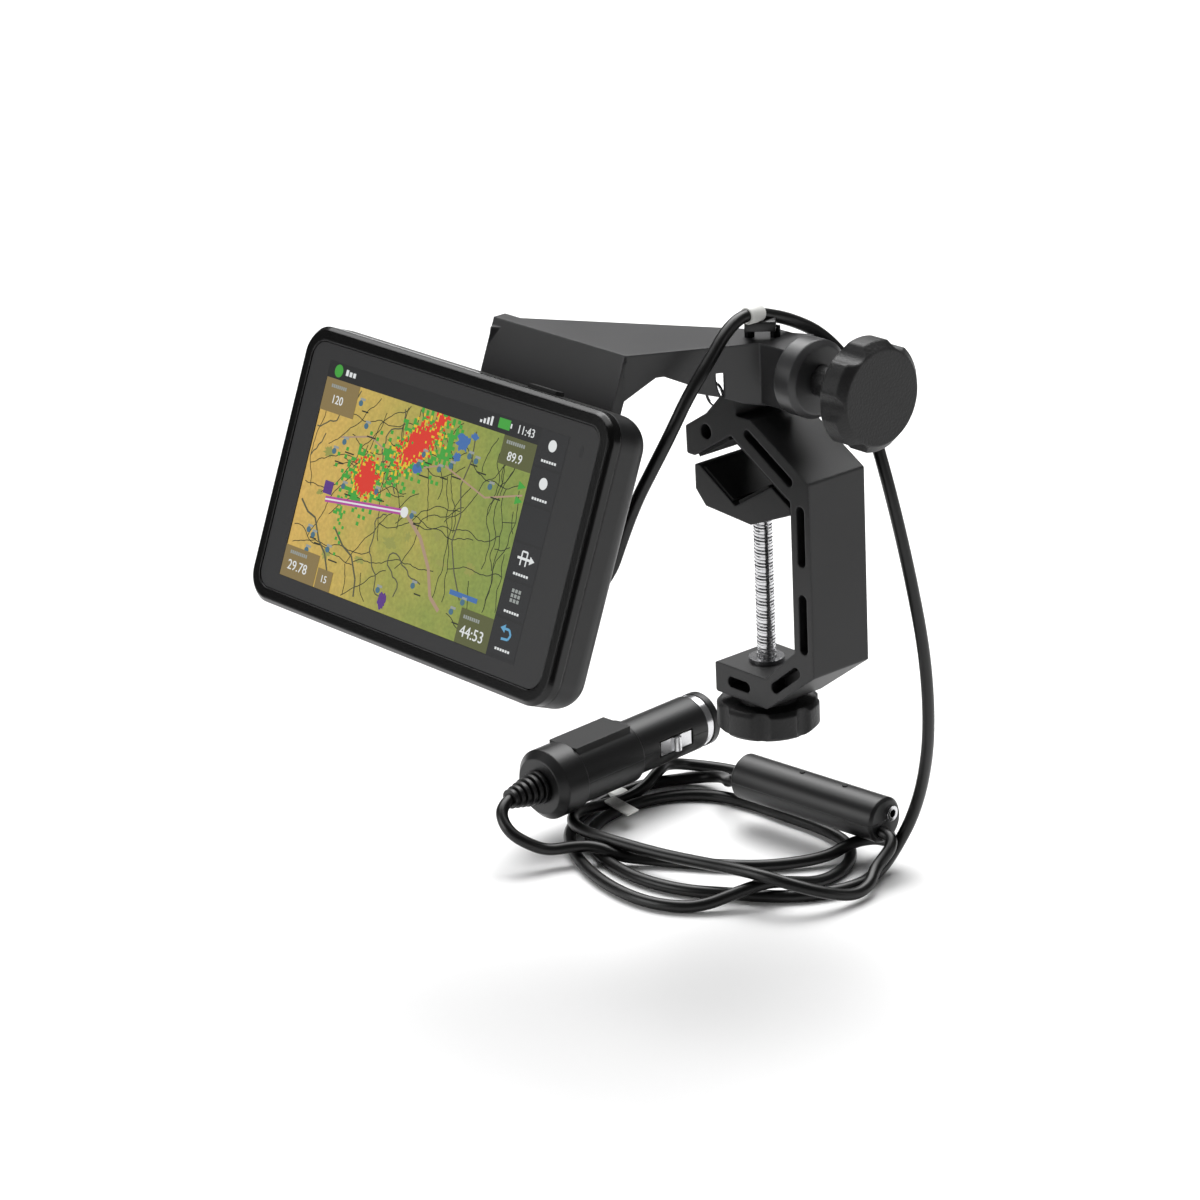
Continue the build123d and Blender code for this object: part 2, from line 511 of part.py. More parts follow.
def plug_parts():
    """The lighter plug, built along its own axis from the nose backwards."""
    place = along(PLUG_NOSE, PLUG_BACK)
    length = (Vector(*PLUG_BACK) - Vector(*PLUG_NOSE)).length
    solid = extrude(Circle(PLUG_R - 1.4), 30.0) + Pos(0, 0, 30.0) * extrude(Circle(PLUG_R), length - 30.0)
    step = [e for e in solid.edges().filter_by(GeomType.CIRCLE) if e.radius > 10 and e.center().Z < 31]
    solid = chamfer(step, 0.6)
    key = Pos(PLUG_R - 1.6, 0, length - 24.0) * Box(4.0, 12.0, 24.0, align=BASE)
    windows = Pos(0, 0, CONTACT_X0) * Box(5.4, 40, CONTACT_X1 - CONTACT_X0, align=BASE)
    core = Pos(0, 0, -1) * extrude(Circle(6.2), length - 6)
    body = (solid + key) - core - (windows - Box(80, 11.0, 80))
    left = body & Pos(20, 0, length / 2) * Box(40, 60, length + 2)
    right = body & Pos(-20, 0, length / 2) * Box(40, 60, length + 2)
    contacts = [
        Pos(0, side * 8.2, CONTACT_X0 + 0.6) * Box(4.6, 1.0, CONTACT_X1 - CONTACT_X0 - 1.2, align=BASE)
        + Pos(0, side * 9.0, 14.5) * Rot(0, 90, 0) * Cylinder(1.5, 4.6)
        for side in (-1, 1)
    ]
    ring = Pos(0, 0, -3.2) * (extrude(Circle(8.6), 3.2) - extrude(Circle(4.4), 3.2))
    nose = Pos(0, 0, -5.6) * (extrude(Circle(8.9), 2.4) - extrude(Circle(3.2), 2.4))
    pin = Pos(0, 0, -8.4) * extrude(Circle(3.0), 8.4) + extrude(Circle(4.2), 2.0)
    fuse = Pos(0, 0, 7.6) * extrude(Circle(3.0), 25.0)
    spring = Pos(0, 0, 33.0) * (extrude(Circle(3.4), 12.0) - extrude(Circle(2.4), 12.0))
    collar = Pos(0, 0, length) * extrude(Circle(PLUG_R + 1.0), COLLAR_THICK)
    collar -= Pos(0, 0, length + 4) * extrude(Circle(3.4), 8)
    back_rim = [e for e in collar.edges().filter_by(GeomType.CIRCLE) if e.center().Z > length + 8 and e.radius > 8]
    collar = chamfer(back_rim, 2.4)
    boot = Pos(0, 0, length + 4) * Cone(3.4, 2.5, 19.5, align=BASE)
    names = ("plug_shell_upper", "plug_shell_lower", "plug_side_contacts", "plug_metal_ring", "plug_nose_cap",
             "plug_centre_pin", "plug_fuse", "plug_spring", "plug_collar", "plug_boot")
    shapes = (left, right, contacts, ring, nose, pin, fuse, spring, collar, boot)
    moved = [[place.location * p for p in s] if isinstance(s, list) else place.location * s for s in shapes]
    return dict(zip(names, moved))


# ---- write every sub-part ----------------------------------------------------------------
os.makedirs("parts", exist_ok=True)
BUILDERS = [
    clamp_frame, clamp_pads, leg_nut, pivot_nut, v_block, jaw_pads, clamp_screw, screw_clip, clamp_knob,
    arm_bracket, arm_screws, cord_clip, pivot_knob, pivot_stud, front_bezel, touch_glass, light_sensor,
    lcd_panel, rear_housing, port_cover, housing_screws, power_button, main_board, battery_pack,
    gps_antenna, speaker, cradle, cradle_latch, cradle_contacts, cradle_relief, cord_coil, coil_tie,
]
for build in BUILDERS:
    write(build.__name__, build())
write("tether_ring", ring_solid(TETHER_WIRE))
write("cord_to_clip", cord_tube(CORD_TO_CLIP))
write("cord_drop", cord_tube(CORD_DROP))
write("cord_plug_lead", cord_tube(PLUG_LEAD))
write("cord_module_in", cord_tube(MODULE_IN))
write("cord_module_out", cord_tube(MODULE_OUT))
MODULE_NODES = ("module_shell_upper", "module_shell_lower", "audio_jack", "module_board")
for node, shape in zip(MODULE_NODES, module_parts()):
    write(node, shape)
for node, shape in plug_parts().items():
    write(node, shape)
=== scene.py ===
# %% [markdown]
# # A portable aviation GPS on its yoke clamp
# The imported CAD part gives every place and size. This script gives it its looks: paint,
# moulded plastic, rubber, a lit map, a helical screw thread and the flexible cord.

# %% Frame, units and the size of the part
import json
import math
import random

import bmesh
import bpy
from mathutils import Matrix, Vector


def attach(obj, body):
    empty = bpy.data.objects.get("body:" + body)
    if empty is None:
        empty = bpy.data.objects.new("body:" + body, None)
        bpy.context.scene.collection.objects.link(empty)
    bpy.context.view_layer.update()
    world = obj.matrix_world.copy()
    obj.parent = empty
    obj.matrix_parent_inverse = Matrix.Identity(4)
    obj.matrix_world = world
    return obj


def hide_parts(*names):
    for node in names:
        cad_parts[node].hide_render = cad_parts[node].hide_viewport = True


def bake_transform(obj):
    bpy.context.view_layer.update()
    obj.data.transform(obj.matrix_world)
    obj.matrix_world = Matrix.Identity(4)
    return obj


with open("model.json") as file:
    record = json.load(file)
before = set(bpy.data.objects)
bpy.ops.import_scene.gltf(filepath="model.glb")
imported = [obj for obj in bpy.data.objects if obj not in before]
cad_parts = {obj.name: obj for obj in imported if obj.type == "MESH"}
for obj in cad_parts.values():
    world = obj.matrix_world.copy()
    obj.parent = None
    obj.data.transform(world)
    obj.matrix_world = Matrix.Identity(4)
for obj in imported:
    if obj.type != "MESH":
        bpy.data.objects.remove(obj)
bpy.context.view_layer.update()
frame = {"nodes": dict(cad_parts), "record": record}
MM = 0.001
print("CAD nodes:", len(frame["nodes"]))

# %% [markdown]
# ## Sizes shared with the CAD part
# The screen's front face has its own axes: X to the right, U up the face and N out of it.
# Everything printed or shown on the face is placed with these three.

# %% The face's own axes and the cord's route
TILT = math.radians(22.0)
FACE_O = Vector((-42.7, -92.3, -1.5)) * MM
FACE_X = Vector((1, 0, 0))
FACE_U = Vector((0, math.sin(TILT), math.cos(TILT)))
FACE_N = Vector((0, -math.cos(TILT), math.sin(TILT)))
FACE = Matrix.Translation(FACE_O) @ Matrix((FACE_X, FACE_U, FACE_N)).transposed().to_4x4()
GLASS_W, GLASS_H = 129.0, 75.0
CORD_R = 1.9
FLOOR = -140.0
LIE = FLOOR + CORD_R

CORD_TO_CLIP = [
    (-12.4, -55.2, -30.0), (-9.6, -51.0, -23.9), (-7.4, -49.0, -15.4), (-1.9, -47.0, -1.5),
    (3.0, -43.5, 9.9),
    (6.0, -39.2, 19.6), (7.1, -34.5, 27.6), (8.0, -30.0, 33.5), (7.8, -25.0, 38.2), (7.0, -19.0, 43.6),
    (6.0, -12.5, 46.6), (5.3, -6.0, 46.6), (4.6, -0.4, 44.8),
]
CORD_DROP = [
    (4.6, 8.6, 41.5), (9.0, 17.2, 36.2), (16.0, 22.3, 26.5), (23.5, 22.5, 10.0),
    (30.0, 24.0, -12.0), (33.2, 28.0, -38.0), (33.0, 33.5, -64.0), (28.5, 39.0, -90.0), (20.5, 44.0, -110.0),
    (14.5, 45.0, -124.0), (12.0, 41.5, -132.2),
]
MODULE_IN = [(-61.0, 37.5, -132.1), (-56.5, 35.0, -129.3), (-52.5, 33.0, -127.7), (-47.9, 33.0, -127.6)]
MODULE_OUT = [(9.7, 36.1, -127.6), (13.4, 36.6, -128.0), (16.0, 34.4, -129.9), (16.4, 30.6, -132.3)]
PLUG_LEAD = [
    (-79.9, -36.4, -120.3), (-79.2, -40.3, -121.2), (-76.5, -43.0, -124.0), (-72.0, -43.2, -127.6),
    (-67.8, -39.5, -131.0), (-65.4, -34.3, -134.0),
]
print("face centre", tuple(round(v, 4) for v in FACE_O))

# %% [markdown]
# ## Helpers for every node tree
# `linear` turns a screen colour into the light value that the renderer works with, `add`
# places one node of any kind with its settings and inputs, and `new_material` starts a finish.

# %% Colour and node helpers
def linear(code):
    """A display colour such as #1c1c1d as linear red, green, blue and 1."""
    parts = [int(code[i:i + 2], 16) / 255 for i in (1, 3, 5)]
    return [c / 12.92 if c <= 0.04045 else ((c + 0.055) / 1.055) ** 2.4 for c in parts] + [1.0]


def add(tree, kind, inputs=None, **settings):
    """One node; each input is a value or another node's output socket."""
    node = tree.nodes.new(kind)
    for name, value in settings.items():
        setattr(node, name, value)
    for name, value in (inputs or {}).items():
        if isinstance(value, bpy.types.NodeSocket):
            tree.links.new(value, node.inputs[name])
        else:
            node.inputs[name].default_value = value
    return node


def new_material(name):
    """An empty material with an output node."""
    mat = bpy.data.materials.new(name)
    mat.use_nodes = True
    mat.node_tree.nodes.clear()
    out = add(mat.node_tree, "ShaderNodeOutputMaterial")
    return mat, mat.node_tree, out

print("grey #808080 is", round(linear("#808080")[0], 3), "in linear light")

# %% [markdown]
# ## One recipe for painted and moulded surfaces
# Powder coat, moulded nylon and rubber all have a fine grain that breaks up highlights, a
# slow drift of colour and gloss across the piece, and rounded edges that catch light. The
# grain is a noise bump sized in real millimetres. The Bevel node rounds sharp edges in the
# shading, as paint and moulds round them in metal and plastic. Some finishes also mix a
# lighter colour into those rounded edges, a painted highlight.

# %% Surface recipe and the list of finishes
PATCH = 35.0    # mm, how far apart the slow changes of tone are


def surface(name, colour, rough, grain=0.5, depth=0.02, metal=0.0, coat=0.0, drift=0.15,
            edge=0.35, edge_highlight=None, shine=0.5):
    """A finish; grain, depth and edge are in mm, and an optional lighter colour is painted on the rounded
    edges as a painted highlight.
    """
    mat, tree, out = new_material(name)
    place = add(tree, "ShaderNodeTexCoord").outputs["Object"]
    fine = add(tree, "ShaderNodeTexNoise", {"Vector": place, "Scale": 1 / (grain * MM), "Detail": 2.0})
    slow = add(tree, "ShaderNodeTexNoise", {"Vector": place, "Scale": 1 / (PATCH * MM), "Detail": 3.0})
    base = linear(colour)
    tone = add(tree, "ShaderNodeMix", data_type="RGBA")
    tone.inputs[6].default_value = [c * (1 - drift) for c in base[:3]] + [1]
    tone.inputs[7].default_value = [min(1, c * (1 + drift)) for c in base[:3]] + [1]
    tree.links.new(slow.outputs["Fac"], tone.inputs[0])
    shade = tone.outputs[2]
    gloss = add(tree, "ShaderNodeMapRange", {
        "Value": slow.outputs["Fac"], "To Min": rough * 0.88, "To Max": rough * 1.12})
    round_edge = add(tree, "ShaderNodeBevel", {"Radius": edge * MM}, samples=4)
    bump = add(tree, "ShaderNodeBump", {
        "Height": fine.outputs["Fac"], "Distance": depth * MM, "Normal": round_edge.outputs["Normal"]})
    # painted highlight: where the rounded shading normal turns away from the flat one, the colour is mixed
    # towards a lighter one
    if edge_highlight:
        flat = add(tree, "ShaderNodeNewGeometry").outputs["Normal"]
        same = add(tree, "ShaderNodeVectorMath", {0: round_edge.outputs["Normal"], 1: flat},
                   operation="DOT_PRODUCT")
        highlight_mask = add(tree, "ShaderNodeMapRange", {
            "Value": same.outputs["Value"], "From Min": 0.99, "From Max": 0.8, "To Min": 0.0, "To Max": 0.8})
        lighter = add(tree, "ShaderNodeMix", {7: linear(edge_highlight), 6: shade, 0: highlight_mask.outputs["Result"]},
                      data_type="RGBA")
        shade = lighter.outputs[2]
    skin = add(tree, "ShaderNodeBsdfPrincipled", {
        "Base Color": shade, "Roughness": gloss.outputs["Result"], "Metallic": metal,
        "Coat Weight": coat, "Coat Roughness": 0.06, "Specular IOR Level": shine,
        "Normal": bump.outputs["Normal"]})
    tree.links.new(skin.outputs["BSDF"], out.inputs["Surface"])
    return mat


FINISH = {
    # matt black powder coat on the pressed clamp, with a painted highlight along its edges
    "clamp_metal": surface("powder_coat", "#151516", 0.48, grain=0.45, edge=0.8, edge_highlight="#303032", shine=0.4),
    # smoother satin powder coat on the arm, with a painted highlight along its edges
    "arm_metal": surface("satin_coat", "#2a2a2b", 0.36, grain=0.35, depth=0.01, edge=0.9, edge_highlight="#4a4a4c"),
    # bright zinc-plated steel
    "steel": surface("zinc_plate", "#cfcfd1", 0.2, grain=0.3, depth=0.004, metal=1.0, drift=0.05, edge=0.15),
    # black oxide on small screws
    "black_steel": surface("black_oxide", "#1a1a1b", 0.35, grain=0.2, depth=0.004, metal=1.0, edge=0.2),
    # matt black rubber
    "rubber_black": surface("rubber", "#0b0b0b", 0.8, grain=0.3, depth=0.02, edge=0.3),
    # textured black nylon of the hand knobs, with a painted highlight along their edges
    "knob_plastic": surface("nylon_texture", "#080809", 0.5, grain=0.7, depth=0.14, edge=1.0,
                            edge_highlight="#161617", shine=0.4),
    # gloss black frame round the glass
    "bezel_plastic": surface("gloss_black", "#020202", 0.2, grain=6.0, depth=0.01, coat=0.1,
                             drift=0.05, edge=0.9, shine=0.3),
    # satin dark housing
    "housing_plastic": surface("satin_case", "#0b0b0c", 0.4, grain=0.3, depth=0.012, edge=0.8, shine=0.4),
    # dark printed border under the anti-glare face
    "glass": surface("face_print", "#171718", 0.5, grain=0.12, depth=0.002, drift=0.06,
                     edge=0.1, shine=0.35),
    # solder mask
    "board_green": surface("solder_mask", "#0d5a2c", 0.3, grain=1.0, depth=0.01),
    # shrink wrap of the cells
    "cell_wrap": surface("cell_wrap", "#23242a", 0.3, grain=2.0, depth=0.01),
    # sintered ceramic of the antenna
    "ceramic": surface("ceramic", "#c9c0a6", 0.5, grain=0.4, depth=0.01),
    # gold-plated contacts
    "gold_contact": surface("gold_plate", "#d9b25a", 0.22, grain=0.3, depth=0.003, metal=1.0, drift=0.05),
    # soft PVC jacket of the cord
    "cord_pvc": surface("cord_jacket", "#050505", 0.36, depth=0.008, drift=0.2, edge=0.05, shine=0.4),
    # satin moulding of the plug and the in-line module, with a painted highlight along their edges
    "plug_plastic": surface("abs_moulding", "#09090a", 0.38, grain=0.4, depth=0.012, edge=0.6,
                            edge_highlight="#1a1a1b", shine=0.45),
    # white nylon tie
    "tie_white": surface("white_nylon", "#e6e6e2", 0.5, grain=0.4, depth=0.01, drift=0.03, edge=0.2),
    # clear glass of the fuse
    "fuse_glass": surface("fuse_glass", "#c8d2d2", 0.1, grain=2.0, depth=0.002, drift=0.02, edge=0.1),
}
print("finishes:", len(FINISH))

# %% [markdown]
# ## Finishes on the CAD parts
# The record says which slot each part takes its finish from, so one loop paints them all.

# %% Paint every CAD node by its slot
for part in frame["record"]["subparts"]:
    mesh = frame["nodes"][part["node"]].data
    mesh.materials.clear()
    mesh.materials.append(FINISH.get(part["material_slot"], FINISH["plug_plastic"]))

# %% [markdown]
# ## Making a piece
# Every new piece is one closed mesh at the origin, with its place in its vertices. `piece`
# gives it a finish, hooks it to a moving body and hides the CAD parts it stands for.

# %% Mesh helpers
def piece(obj, body, slot, material=None, stands_for=()):
    """Finishes one mesh: material (by default the slot's finish), smooth shading by angle, body."""
    mesh = obj.data
    mesh.materials.clear()
    mesh.materials.append(material or FINISH[slot])
    mesh.shade_smooth()
    mesh.set_sharp_from_angle(angle=math.radians(38))
    if body:
        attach(obj, body)
    if stands_for:
        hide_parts(*stands_for)
    return obj


def linked(name, mesh):
    """A mesh as an object in the scene."""
    obj = bpy.data.objects.new(name, mesh)
    bpy.context.scene.collection.objects.link(obj)
    return obj


def from_bmesh(name, bm):
    """A bmesh with outward faces as an object."""
    bmesh.ops.remove_doubles(bm, verts=bm.verts, dist=1e-7)
    bmesh.ops.recalc_face_normals(bm, faces=bm.faces)
    mesh = bpy.data.meshes.new(name)
    bm.to_mesh(mesh)
    bm.free()
    return linked(name, mesh)


def baked(name, source):
    """The evaluated mesh of a curve, text or node-made object, as a plain object."""
    bpy.context.view_layer.update()
    mesh = bpy.data.meshes.new_from_object(source.evaluated_get(bpy.context.evaluated_depsgraph_get()))
    bpy.data.objects.remove(source)
    bm = bmesh.new()
    bm.from_mesh(mesh)
    return from_bmesh(name, bm)


def on_face(x, y, z):
    """A place on the screen's face, from mm across, up and out."""
    return FACE @ (Vector((x, y, z)) * MM)


def prisms(name, outlines, low, high):
    """Straight-sided tiles on the screen's face: outlines in mm, between two heights."""
    bm = bmesh.new()
    for outline in outlines:
        rings = [[bm.verts.new(on_face(x, y, z)) for x, y in outline] for z in (low, high)]
        bm.faces.new(rings[0])
        bm.faces.new(rings[1])
        for i in range(len(outline)):
            j = (i + 1) % len(outline)
            bm.faces.new((rings[0][i], rings[0][j], rings[1][j], rings[1][i]))
    return from_bmesh(name, bm)


def rect(x0, y0, x1, y1):
    return [(x0, y0), (x1, y0), (x1, y1), (x0, y1)]


def rounded(x, y, w, h, r, steps=6):
    """A rectangle with round corners."""
    points = []
    for quarter, (sx, sy) in enumerate(((1, 1), (-1, 1), (-1, -1), (1, -1))):
        for i in range(steps + 1):
            a = math.pi / 2 * (quarter + i / steps)
            points.append((x + sx * (w / 2 - r) + r * math.cos(a), y + sy * (h / 2 - r) + r * math.sin(a)))
    return points


def circle(sides):
    """The angles of a circle's corners."""
    return [2 * math.pi * i / sides for i in range(sides)]


def disc(x, y, r, sides=20):
    return [(x + r * math.cos(a), y + r * math.sin(a)) for a in circle(sides)]


def stroke(points, width):
    """A thin line as one small tile per run."""
    tiles = []
    for (x0, y0), (x1, y1) in zip(points, points[1:]):
        run = math.hypot(x1 - x0, y1 - y0)
        nx, ny = (y0 - y1) / run * width / 2, (x1 - x0) / run * width / 2
        tiles.append([(x0 - nx, y0 - ny), (x1 - nx, y1 - ny), (x1 + nx, y1 + ny), (x0 + nx, y0 + ny)])
    return tiles


def blob(x, y, w, h, seed, rough=0.3, sides=26):
    """An uneven round patch, such as a shower on a weather map."""
    dice = random.Random(seed)
    reach = [1 + rough * dice.uniform(-1, 1) for _ in range(sides)]
    return [(x + w / 2 * far * math.cos(a), y + h / 2 * far * math.sin(a))
            for far, a in zip(reach, circle(sides))]


print("helpers ready")

# %% [markdown]
# ## The face of the unit
# The cover's printed border is a flat dark-grey frame with a sharp window. Two outlines, the
# outer one rounded to fit the gloss rim, are each used at two heights to close the frame.

# %% Printed border round the display
VIEW_X, VIEW_Y, VIEW_W, VIEW_H = -1.5, 0.1, 108.4, 65.4
outer = rounded(0, 0, GLASS_W - 0.2, GLASS_H - 0.2, 4.9)
inner = rounded(VIEW_X, VIEW_Y, VIEW_W, VIEW_H, 0.5)
bm = bmesh.new()
loops = []
for outline, height in ((outer, -1.2), (outer, -0.2), (inner, -0.2), (inner, -1.2)):
    loops.append([bm.verts.new(on_face(x, y, height)) for x, y in outline])
for a, b in zip(loops, loops[1:] + loops[:1]):
    for i in range(len(outer)):
        j = (i + 1) % len(outer)
        bm.faces.new((a[i], a[j], b[j], b[i]))
border = piece(from_bmesh("face_border", bm), "arm", "glass", stands_for=("touch_glass",))
print("border faces", len(border.data.polygons))

# %% [markdown]
# ## The lit map
# A liquid crystal display is dark glass that gives out light, so its materials are black with
# emission. The land runs from warm yellow on the left to green on the right, with soft
# relief from two noises. Roads, rivers, showers and symbols are thin tiles laid over it.

# %% Lit materials
def lit(name, colour, strength=0.85):
    """A colour that the display gives out."""
    mat, tree, out = new_material(name)
    skin = add(tree, "ShaderNodeBsdfPrincipled", {
        "Base Color": linear("#050505"), "Roughness": 0.45, "Specular IOR Level": 0.3,
        "Emission Color": linear(colour), "Emission Strength": strength})
    tree.links.new(skin.outputs["BSDF"], out.inputs["Surface"])
    return mat


def land():
    """The map's ground: a colour ramp across the screen, broken up by noise."""
    mat, tree, out = new_material("map_land")
    place = add(tree, "ShaderNodeTexCoord").outputs["Object"]
    relief = add(tree, "ShaderNodeTexNoise", {
        "Vector": place, "Scale": 1 / (16 * MM), "Detail": 6.0, "Roughness": 0.6})
    speckle = add(tree, "ShaderNodeTexNoise", {"Vector": place, "Scale": 1 / (1.2 * MM), "Detail": 3.0})
    axes = add(tree, "ShaderNodeSeparateXYZ", {"Vector": place})
    across = add(tree, "ShaderNodeMapRange", {
        "Value": axes.outputs["X"], "From Min": -99 * MM, "From Max": -2 * MM})
    shift = add(tree, "ShaderNodeMath", {0: relief.outputs["Fac"], 1: 0.6, 2: -0.3}, operation="MULTIPLY_ADD")
    total = add(tree, "ShaderNodeMath", {0: across.outputs["Result"], 1: shift.outputs[0]}, operation="ADD")
    ramp = add(tree, "ShaderNodeValToRGB", {"Fac": total.outputs[0]})
    stops = ((0.0, "#d9b25c"), (0.3, "#c1ab54"), (0.55, "#a3a24b"), (0.8, "#8e9a45"), (1.0, "#7f9342"))
    while len(ramp.color_ramp.elements) < len(stops):
        ramp.color_ramp.elements.new(0.5)
    for element, (at, colour) in zip(ramp.color_ramp.elements, stops):
        element.position = at
        element.color = linear(colour)
    dim = add(tree, "ShaderNodeMapRange", {
        "Value": speckle.outputs["Fac"], "From Min": 0.3, "From Max": 0.7, "To Min": 0.78, "To Max": 0.98})
    skin = add(tree, "ShaderNodeBsdfPrincipled", {
        "Base Color": linear("#050505"), "Roughness": 0.45, "Specular IOR Level": 0.3,
        "Emission Color": ramp.outputs["Color"], "Emission Strength": dim.outputs["Result"]})
    tree.links.new(skin.outputs["BSDF"], out.inputs["Surface"])
    return mat


SCREEN_COLOURS = {
    "black": "#101113", "line": "#1d2412", "white": "#e9ecec", "grey": "#9aa09c", "red": "#e2321f",
    "amber": "#e8c32a", "green": "#3da637", "magenta": "#b4489c", "violet": "#5a2f86", "blue": "#3f6fb0",
    "road": "#b0937a", "sand": "#8b7748", "olive": "#585c30", "teal": "#456f86", "sky": "#62a6cf",
    "slate": "#56563f", "key": "#17181b",
}
GLOW = {name: lit("lit_" + name, colour) for name, colour in SCREEN_COLOURS.items()}
print("lit colours:", len(GLOW))

# %% [markdown]
# ## What the screen shows
# The layers lie 0.02 mm apart, far too thin to see, so that none hides in another. Random walks
# with fixed seeds draw the web of section lines and rivers, denser and finer than the roads.

# %% Map, weather, route, boxes and keys
MAP = (-55.6, -32.5, 40.2, 27.8)
MAP_X0, MAP_Y0, MAP_X1, MAP_Y1 = MAP
BASE_Z, LAYER = -0.44, 0.02
layers = []


def show(name, outlines, level, colour):
    """One layer of the display."""
    z = BASE_Z + LAYER * level
    tiles = prisms("screen_" + name, outlines, z - 0.3, z)
    layers.append(piece(tiles, "arm", "display", GLOW.get(colour) or colour, stands_for=("lcd_panel",)))


def walk(seed, x, y, heading, steps, step, wander, hold=0.0):
    """A wandering line that stops at the map's edge."""
    dice = random.Random(seed)
    points = [(x, y)]
    course = heading
    for _ in range(steps):
        course += dice.uniform(-wander, wander) + hold * (heading - course)
        x, y = x + step * math.cos(course), y + step * math.sin(course)
        if not (MAP_X0 + 0.5 < x < MAP_X1 - 0.5 and MAP_Y0 + 0.5 < y < MAP_Y1 - 0.5):
            break
        points.append((x, y))
    return points


show("panel", [rect(-55.7, -32.6, 52.7, 32.8)], 0, "black")
show("land", [rect(*MAP)], 1, land())
dice = random.Random(7)
patches = [blob(dice.uniform(-50, 36), dice.uniform(-28, 24), dice.uniform(2, 6), dice.uniform(1.5, 4),
                i, 0.4) for i in range(16)]
show("woods", patches, 2, lit("lit_woods", "#9a9c4c"))
web = []
for i in range(52):
    start = (dice.uniform(MAP_X0 + 2, MAP_X1 - 2), dice.uniform(MAP_Y0 + 2, MAP_Y1 - 2))
    web += stroke(walk(100 + i, *start, dice.choice((0.1, 1.6, 3.2, 4.8, 0.8)), 28, 1.3, 0.4, 0.2), 0.25)
show("lines", web, 3, "line")
rivers = []
for i in range(7):
    start = (dice.uniform(MAP_X0 + 4, 10), dice.uniform(MAP_Y0 + 4, MAP_Y1 - 6))
    rivers += stroke(walk(300 + i, *start, dice.uniform(0, 6.2), 22, 1.5, 0.9), 0.4)
rivers += stroke([(-54, -9), (-50, -12), (-46, -13), (-42, -19), (-38, -22), (-35, -27), (-35, -32)], 0.6)
rivers += stroke([(-36, -14), (-31, -18), (-26, -20), (-22, -26), (-21, -31)], 0.6)
rivers += stroke([(14, 26), (15, 18), (13, 10), (16, 2), (15, -6), (19, -14), (24, -21)], 0.45)
show("rivers", rivers, 4, "slate")
show("road", stroke([(-6.7, -3.0), (1.5, -8.0), (8.0, -15.5), (11.5, -23.0), (16.4, -26.0)], 1.2)
     + stroke([(-43, 12), (-30, 15), (-12, 9), (4, 14), (24, 9), (39, 13)], 0.5), 5, "road")


def echoes(x, y, w, h, lean, count, size, seed):
    """Radar returns: small squares scattered about a leaning oval."""
    dice = random.Random(seed)
    tiles = []
    for _ in range(count):
        u, v = dice.gauss(0, 0.24) * w, dice.gauss(0, 0.24) * h
        px = round((x + u * math.cos(lean) - v * math.sin(lean)) / size) * size
        py = round((y + u * math.sin(lean) + v * math.cos(lean)) / size) * size
        tiles.append((px, py))
    return [rect(px, py, px + size, py + size) for px, py in sorted(set(tiles))]


# each storm cell: middle, width, height, lean in radians, number of echoes
CELLS = (
    (-28.5, 2.5, 10.5, 12.5, 0.3, 210),
    (-9.8, 16.5, 21.0, 9.5, 0.75, 330),
    (-2.2, 25.0, 6.0, 4.0, 0.9, 40),
)
green, amber, red = [], [], []
for i, (x, y, w, h, lean, count) in enumerate(CELLS):
    green += echoes(x - 1, y - 1, w * 1.7, h * 1.7, lean, count, 1.1, 20 + i)
    amber += echoes(x, y, w * 1.1, h * 1.1, lean, count, 0.8, 40 + i)
    red += echoes(x + 0.4, y + 0.4, w * 0.85, h * 0.85, lean, count * 2, 0.7, 60 + i)
green += echoes(3.0, 18.0, 6.0, 16.0, -0.3, 60, 1.1, 31) + echoes(-36.0, -10.0, 4.0, 22.0, 0.2, 34, 0.9, 32)
show("halo", green, 6, "green")
show("rim", amber, 7, "amber")
show("core", red, 8, "red")
fields = [(dice.uniform(-50, 36), dice.uniform(-28, 24)) for _ in range(22)]
show("fields", [disc(x, y, 0.9, 12) for x, y in fields], 9, "teal")
show("marks", [rect(x - 0.5, y + 0.9, x + 1.6, y + 1.6) for x, y in fields], 10, "grey")
show("names", [rect(x + 1.4, y - 2.9, x + 5.4, y - 2.5) for x, y in fields[::2]]
     + [rect(x + 1.4, y - 2.2, x + 4.2, y - 1.8) for x, y in fields[1::2]], 9, "line")
show("route", stroke([(-43.4, -6.7), (-7.8, -2.6)], 1.8), 10, "magenta")
show("stripe", stroke([(-43.4, -6.7), (-7.8, -2.6)], 0.5) + [disc(-7.8, -2.6, 1.6, 12)], 11, "white")
show("start", [rect(-45.2, -5.2, -41.4, -1.4)] + [blob(-8.4, -29.1, 3.4, 4.6, 5, 0.2)], 12, "violet")
show("water", [blob(x, y, w, h, 80 + i, 0.3) for i, (x, y, w, h) in enumerate(
    ((9.8, 21.8, 5.5, 4.5), (-7.1, 10.5, 4.5, 2.4), (8.5, 17.2, 3.2, 2.6), (14.0, 24.5, 3.0, 2.0)))]
    + [rect(19.3, -20.2, 31.3, -18.8)], 9, "blue")
show("left_boxes", [rect(-55.6, 18.0, -40.0, 27.8), rect(-55.6, -32.5, -39.6, -23.2),
                    rect(-39.0, -32.5, -32.0, -26.5)], 11, "sand")
show("right_boxes", [rect(26.0, 19.6, 40.2, 27.8), rect(26.0, -32.5, 40.2, -22.5)], 11, "olive")
show("arrows", [[(36.6, y + 1.2), (39.6, y), (36.6, y - 1.2)] for y in (15.4, 11.2)], 11, "green")
show("bar", [rect(-55.7, 27.8, 52.7, 32.8)], 11, "black")
show("globe", [disc(-51.0, 30.3, 1.9)], 12, "green")
